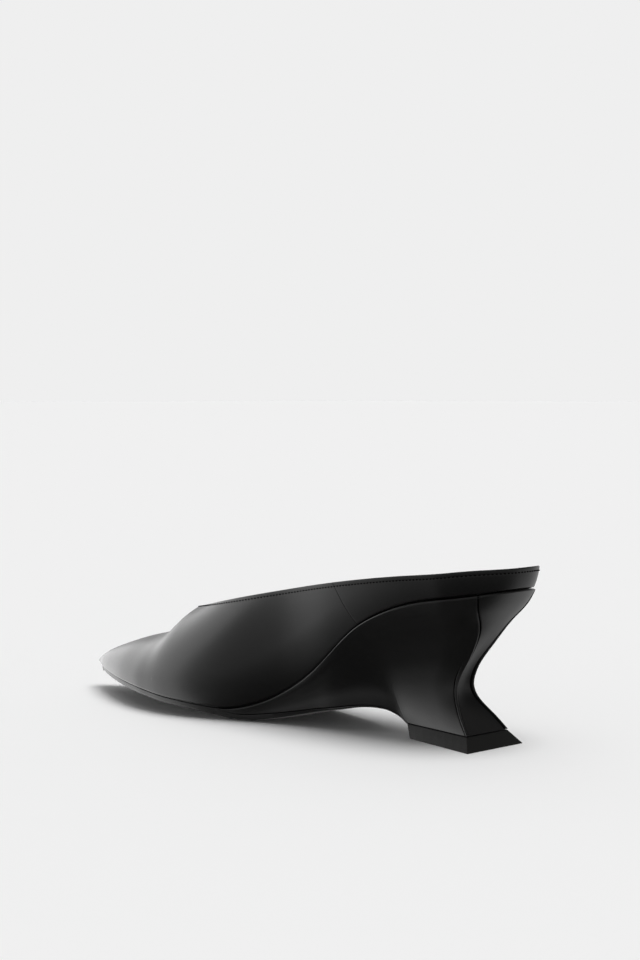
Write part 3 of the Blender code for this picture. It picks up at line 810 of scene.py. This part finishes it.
LEVELS = np.linspace(0, 1, WEDGE_LEVELS + 1)
LEDGE_TURNS = np.linspace(0, pi / 2, 6)[1:]


def wedge_side(sign):
    """The side of the wedge from ridge to tail, level by level, then over the ledge."""
    shoulder = side_top(sign, LEDGE, side_shares)
    tall = ledge_round(shoulder)
    shoulder[:, 2] -= tall
    sharp = side_foot(sign, side_shares)
    soft = eased(sharp, side_shares)
    fade = (1 - side_shares[:, None]) ** PINCH_FADE
    rows = []
    for level in LEVELS:
        foot = sharp + min(1, level / BREAST_EASE) * (soft - sharp)
        straight = foot + level * (shoulder - foot)
        rows.append(straight + fade * (ridge_line(shoulder[0], sharp[0], level) - straight[0]))
    for turn in LEDGE_TURNS:
        row = side_top(sign, LEDGE - LEDGE_ROUND * (1 - cos(turn)), side_shares)
        row[:, 2] = shoulder[:, 2] + tall * sin(turn)
        rows.append(row)
    rows.append(side_top(sign, -0.0015, side_shares))
    return np.array(rows)


def folded_edge(side, sign):
    """The side with the turned edge of its leather raised beside the ridge, low down."""
    gap = side_shares * side_length
    width = np.interp(LEVELS, [0, FOLD_TOP], FOLD_WIDTH)[:, None]
    step = 1 / (1 + np.exp(np.clip((gap - width) / 0.00008, -50, 50)))
    low = 1 / (1 + np.exp((LEVELS - FOLD_TOP) / 0.025))
    along = np.gradient(side[:len(LEVELS)], axis=1)
    up = np.gradient(side[:len(LEVELS)], axis=0)
    out = unit(np.cross(along, up)) * sign
    groove = np.exp(-((gap - width - 0.0002) / 0.00028) ** 2)
    raised = (FOLD_HEIGHT * step - FOLD_GROOVE * groove) * low[:, None]
    side[:len(LEVELS)] += raised[:, :, None] * FOLD_SIDE * out
    return side


def back_face(depth, columns=BACK_COLUMNS, top_round=LEDGE_ROUND):
    """The face between the two ridges, a given depth in from them, level by level, with
    its top edge rounded over."""
    arcs = []
    for sign in (1, -1):
        line, out = wedge_lines[sign]
        arc = (line + LEDGE * out)[:ridge_corner + 1]
        arc[:, 2] = shelf_height(arc[:, 0]) - LEDGE_ROUND
        arcs.append(arc)
    arc = np.concatenate([arcs[0][::-1], arcs[1][1:]])
    shares = np.linspace(0, 1, columns)
    arc = np.stack([np.interp(shares, np.linspace(0, 1, len(arc)), arc[:, k]) for k in range(3)], -1)
    feet = [side_foot(sign, np.zeros(1))[0] for sign in (1, -1)]
    chord = arc[0] + shares[:, None] * (arc[-1] - arc[0])
    rows = []
    for level in LEVELS:
        ends = [ridge_line(top, foot, level) for top, foot in zip((arc[0], arc[-1]), feet)]
        rows.append(ends[0] + shares[:, None] * (ends[1] - ends[0]) + (arc - chord) * level ** BACK_ROUND_FADE)
    rows = np.array(rows)
    along = np.gradient(rows, axis=1)
    inward = unit(np.stack([-along[:, :, 1], along[:, :, 0], 0 * along[:, :, 0]], -1))
    hollow = np.sin(pi * LEVELS)[:, None] * np.sin(pi * shares)
    rows[:, :, 0] += BACK_HOLLOW * hollow
    rows = rows + depth * inward
    over = [rows[-1] + top_round * (1 - cos(turn)) * inward[-1] + (0, 0, LEDGE_ROUND * sin(turn))
            for turn in LEDGE_TURNS]
    under = over[-1] + 0.0016 * inward[-1]
    return np.concatenate([rows, np.array(over), under[None]])


def between(rows, margin):
    """The same rows with a margin left out at each end."""
    shares = np.linspace(0, 1, rows.shape[1])
    kept = []
    for row in rows:
        left = margin / np.linalg.norm(row[0] - row[-1])
        kept.append(np.stack([np.interp(left + shares * (1 - 2 * left), shares, row[:, k])
                              for k in range(3)], -1))
    return np.array(kept)


sides = {sign: folded_edge(wedge_side(sign), sign) for sign in (1, -1)}
land = between(back_face(0), RIDGE_LAND)
recess = between(back_face(BACK_STEP + BACK_COVER + CLEARANCE), RIDGE_LAND)
rings = np.array([np.concatenate([m[::-1], d[:1], r, d[-1:], l])
                  for m, d, r, l in zip(sides[1], land, recess, sides[-1])])
count, size = rings.shape[:2]
columns = sides[1].shape[1]
faces = [(r * size + k, r * size + (k + 1) % size, (r + 1) * size + (k + 1) % size, (r + 1) * size + k)
         for r in range(count - 1) for k in range(size)]
for start in (0, (count - 1) * size):
    faces.append(tuple(range(start + columns - 2, start + size - columns + 2)))
    faces += [(start + k, start + k + 1, start + size - 2 - k, start + size - 1 - k)
              for k in range(columns - 2)]
ridges = [[r * size + k for r in range(len(LEVELS) + len(LEDGE_TURNS))]
          for k in (columns - 1, columns, size - columns - 1, size - columns)]

wedge_calf, wedge_grain, _, _ = calf("wedge_calf", (0.0056, 0.0055, 0.0053), 0.38)
stretch = wedge_calf.noise(60, detail=2, stretch=(1, 1, 4))
wedge_calf.relief(wedge_grain + 1.2 * stretch, 0.00002)
mesh_piece("wedge_cover", rings.reshape(-1, 3), faces, wedge_calf, "wedge_leather", ["wedge_heel"],
           rounded=ridges, round_by=RIDGE_ROUND)


# Back panel: the strip of the same calf between the two ridge seams, let in a little
# and drawn hollow over the moulded wedge, its edges turned under.
PANEL_ROUND = 0.0012
PANEL_GAP = 0.0008

margin = RIDGE_LAND + PANEL_GAP
outer = between(back_face(BACK_STEP), margin)[:-1]
inner = between(back_face(BACK_STEP + BACK_COVER), margin)[:-1]
inner[:, :, 2] = np.minimum(inner[:, :, 2], outer[:, :, 2])
rings = np.array([np.concatenate([front, behind[::-1]]) for front, behind in zip(outer, inner)])
count, size = rings.shape[:2]
edges = [[r * size + k for r in range(count)] for k in (0, BACK_COLUMNS - 1)]
mesh_piece("back_panel", rings.reshape(-1, 3), tube_faces(count, size), wedge_calf, "wedge_leather",
           ["back_cover"], rounded=edges, round_by=PANEL_ROUND)


# Outsole: black leather, its edge trimmed, inked and waxed. It is thin through the arch,
# thick at the tread, and its tread face is scoured to a matt nap.
SOLE_THICKNESS = 0.0031
SOLE_EDGE_LIFT = 0.0007
SOLE_INSET = 0.0011
SOLE_ROUND = 0.00035
SOLE_UNDERCUT = 0.0008
SOLE_TIP = 0.0022


def sole_thickness(x):
    fade = np.clip((x / LENGTH - TAIL_AT) / SOLE_FADE, 0, 1)
    share = arch["sole"](x / LENGTH)
    return SOLE_THICKNESS * (share + (1 - share) * fade)


def sole_edge(sign):
    """One edge of the outsole, from the breast to the toe tip."""
    x = np.linspace(BREAST, TAIL + CLEARANCE, 130)
    back = level_outline(x, np.full(len(x), sign * pi / 2), feather_height)
    back[:, 1] = (back[:, 1] - sign * SOLE_INSET) * arch["tuck"](x / LENGTH)
    lateral, medial, _, _ = feather_ring(ring(THROAT_AT * LENGTH, quarter=260, vamp=90, toe=26), SOLE_INSET)
    front = medial if sign > 0 else lateral
    front = front[(front[:, 0] > TAIL + 0.001) & (front[:, 0] < LENGTH - SOLE_TIP)]
    return np.concatenate([back, front])


rings = []
for left, right in zip(sole_edge(1), sole_edge(-1)):
    x = (left[0] + right[0]) / 2
    top = float(shelf_height(x) if x > TAIL else wedge_under(x) - CLEARANCE)
    bottom = max(0.0, float(wedge_under(x) - CLEARANCE - sole_thickness(x)))
    lift = min(SOLE_EDGE_LIFT, (top - bottom) / 3)
    middle, half = (left + right) / 2, (left - right) / 2
    width = max(half[1], 0.001)
    curl = min(SOLE_ROUND, (top - bottom - lift) / 2.2)
    turns = np.linspace(0, pi / 2, 4)
    flank = [(1 - curl / width * (1 - sin(turn)), top - curl * (1 - cos(turn))) for turn in turns]
    under = min(SOLE_UNDERCUT, width / 4) / width
    flank += [(1 - under - curl / width * (1 - cos(turn)), bottom + lift + curl * (1 - sin(turn)))
              for turn in turns]
    inner = 1 - under - curl / width
    tread = [(share * inner, bottom + lift * max(0, share - 0.4) ** 2 / 0.36) for share in (0.92, 0.8, 0.65, 0.4)]
    loop = flank + tread + [(0, bottom)]
    loop += [(-share, z) for share, z in (flank + tread)[::-1]]
    rings.append([(*(middle + share * half)[:2], z) for share, z in loop])

sole_wax, sole_grain, _, _ = calf("waxed_sole", (0.005, 0.0048, 0.0046), 0.42)
scour = sole_wax.noise(700, detail=4, roughness=0.7)
facing_down = sole_wax.node("ShaderNodeNewGeometry", {}, {}, output="True Normal")
down = sole_wax.node("ShaderNodeSeparateXYZ", {}, {"Vector": facing_down}, output="Z")
tread_mask = sole_wax.rise(0 - down, 0.85, 0.97)
sole_wax.set(sole_wax.shader, "Roughness", 0.42 + 0.3 * tread_mask + 0.06 * scour)
sole_wax.relief(sole_grain + 2.5 * tread_mask * scour, 0.00004)
mesh_piece("sole", np.array(rings).reshape(-1, 3), tube_faces(len(rings), len(rings[0])), sole_wax,
           "sole_leather", ["outsole"])


# Top piece: hard black rubber, moulded as a fishtail and pinned under the wedge from
# inside. The moulded solid itself shows, with the fine matt skin of its mould.
rubber = Finish("top_piece_rubber", Specular_IOR_Level=0.35)
skin = rubber.noise(1800, detail=3, roughness=0.6)
haze = rubber.noise(90, detail=3)
rubber.set(rubber.shader, "Base Color", rubber.mix(haze, (0.005, 0.0049, 0.0045, 1), (0.008, 0.0078, 0.0072, 1)))
rubber.set(rubber.shader, "Roughness", 0.5 + 0.1 * haze + 0.06 * skin)
rubber.relief(skin, 0.00004)
top_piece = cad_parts["top_piece"]
top_piece.data.materials.clear()
top_piece.data.materials.append(rubber.material)


# Floor and backdrop: a plain pale table that runs into an even pale ground.
GROUND = 0.863
floor_mesh = bpy.data.meshes.new("floor")
reach = 4.0
floor_mesh.from_pydata([(-reach, -reach, 0), (reach, -reach, 0), (reach, reach, 0), (-reach, reach, 0)], [],
                       [(0, 1, 2, 3)])
floor = bpy.data.objects.new("floor", floor_mesh)
bpy.context.scene.collection.objects.link(floor)
paper = Finish("floor_paper", Base_Color=(0.93, 0.93, 0.93, 1), Roughness=1.0, Specular_IOR_Level=0.0)
floor_mesh.materials.append(paper.material)
floor.visible_glossy = False
floor.visible_shadow = False

dome_mesh = bpy.data.meshes.new("backdrop")
form = bmesh.new()
bmesh.ops.create_uvsphere(form, u_segments=48, v_segments=24, radius=3.9)
form.to_mesh(dome_mesh)
form.free()
dome = bpy.data.objects.new("backdrop", dome_mesh)
bpy.context.scene.collection.objects.link(dome)
ground = Finish("backdrop_paper", Base_Color=(0, 0, 0, 1), Roughness=1.0, Specular_IOR_Level=0.0,
                Emission_Color=(GROUND, GROUND, GROUND, 1), Emission_Strength=1.0)
dome_mesh.materials.append(ground.material)
for ray in ("diffuse", "glossy", "transmission", "shadow", "volume_scatter"):
    setattr(dome, "visible_" + ray, False)


# Light: a studio with a white sweep behind the shoe, black cards low on the camera side,
# and a large soft lamp high on that side, which lights the floor more than the leather.
CAMERA_TURN = radians(44.23556)
WALL_NEAR = 0.45
WALL_DROP = 0.3
WALL_FAR = 0.85
CEILING = 0.8
FLAG = 0.72
TABLE_NEAR = 0.05
TABLE_FAR = 0.7
LAMP = 1.76
CARD_START = (0.22, 0.122)
CARD_WIDTH = 0.35
CARD_TALL = 0.26
CARD_MIDDLE = 0.02
CARD_GLOW = 1.7
away_from_camera = (sin(CAMERA_TURN), -cos(CAMERA_TURN), 0)
right_of_camera = (-cos(CAMERA_TURN), -sin(CAMERA_TURN), 0)
world = bpy.data.worlds.new("studio")
bpy.context.scene.world = world
world.use_nodes = True
studio = Finish("studio", tree=world.node_tree, shader="Background", Color=(1, 1, 1, 1))
way = studio.node("ShaderNodeTexCoord", output="Generated")
rising = studio.node("ShaderNodeSeparateXYZ", {}, {"Vector": way}, output="Z")
behind = studio.node("ShaderNodeVectorMath", {"operation": "DOT_PRODUCT"}, {0: way, 1: away_from_camera},
                     output="Value")
right = studio.node("ShaderNodeVectorMath", {"operation": "DOT_PRODUCT"}, {0: way, 1: right_of_camera},
                    output="Value")
above = studio.rise(rising, -0.6, 0.1)
far = studio.rise(behind, 0.3, 0.95)
walls = WALL_FAR * far + (1 - far) * (WALL_NEAR - WALL_DROP * studio.rise(rising, 0.2, 0.6))
flag = studio.rise(right, 0.1, 0.7) * studio.rise(rising, -0.1, 0.5)
sky = walls + studio.rise(rising, 0.7, 1.0) * (CEILING - walls)
table = TABLE_NEAR + (TABLE_FAR - TABLE_NEAR) * studio.rise(behind + 0.6 * right, 0.25, 0.8)
studio.set(studio.shader, "Strength", table + above * (sky * (1 - FLAG * flag) - table))
lamp_data = bpy.data.lights.new("soft_lamp", "SUN")
lamp_data.energy = LAMP
lamp_data.angle = radians(40)
lamp = bpy.data.objects.new("soft_lamp", lamp_data)
lamp.rotation_euler = (radians(16), 0, radians(-78))
lamp.visible_glossy = False
bpy.context.scene.collection.objects.link(lamp)
card_data = bpy.data.lights.new("white_card", "AREA")
card_data.shape = "RECTANGLE"
card_data.size, card_data.size_y = CARD_WIDTH, CARD_TALL
card_data.energy = CARD_GLOW * pi * CARD_WIDTH * CARD_TALL
card = bpy.data.objects.new("white_card", card_data)
card.location = (CARD_START[0] - HEEL_TO_ORIGIN + CARD_WIDTH / 2 * away_from_camera[0],
                 CARD_START[1] + CARD_WIDTH / 2 * away_from_camera[1], CARD_MIDDLE)
card.rotation_euler = (pi / 2, 0, CAMERA_TURN + pi / 2)
card.visible_camera = False
card.visible_diffuse = False
bpy.context.scene.collection.objects.link(card)
bpy.context.scene.view_settings.view_transform = "Standard"


# Camera: the photograph's angle, a little above the shoe and behind its medial side.
CAMERA_REACH = 1.1
CAMERA_HEIGHT = 0.18424752
CAMERA_AIM = 0.130
YAW = -0.00838
PITCH = 0.06958
FOCAL_PIXELS = 2454.88229
FRAME_HEIGHT_PIXELS = 960
camera_data = bpy.data.cameras.new("camera")
camera_data.sensor_fit = "VERTICAL"
camera_data.sensor_height = 36
camera_data.lens = FOCAL_PIXELS * camera_data.sensor_height / FRAME_HEIGHT_PIXELS
camera_data.clip_end = 50
camera = bpy.data.objects.new("camera", camera_data)
camera.location = (CAMERA_AIM - HEEL_TO_ORIGIN - sin(CAMERA_TURN) * CAMERA_REACH,
                   cos(CAMERA_TURN) * CAMERA_REACH, CAMERA_HEIGHT)
camera.rotation_euler = (pi / 2 - PITCH, 0, -pi + CAMERA_TURN + YAW)
bpy.context.scene.collection.objects.link(camera)
bpy.context.scene.camera = camera
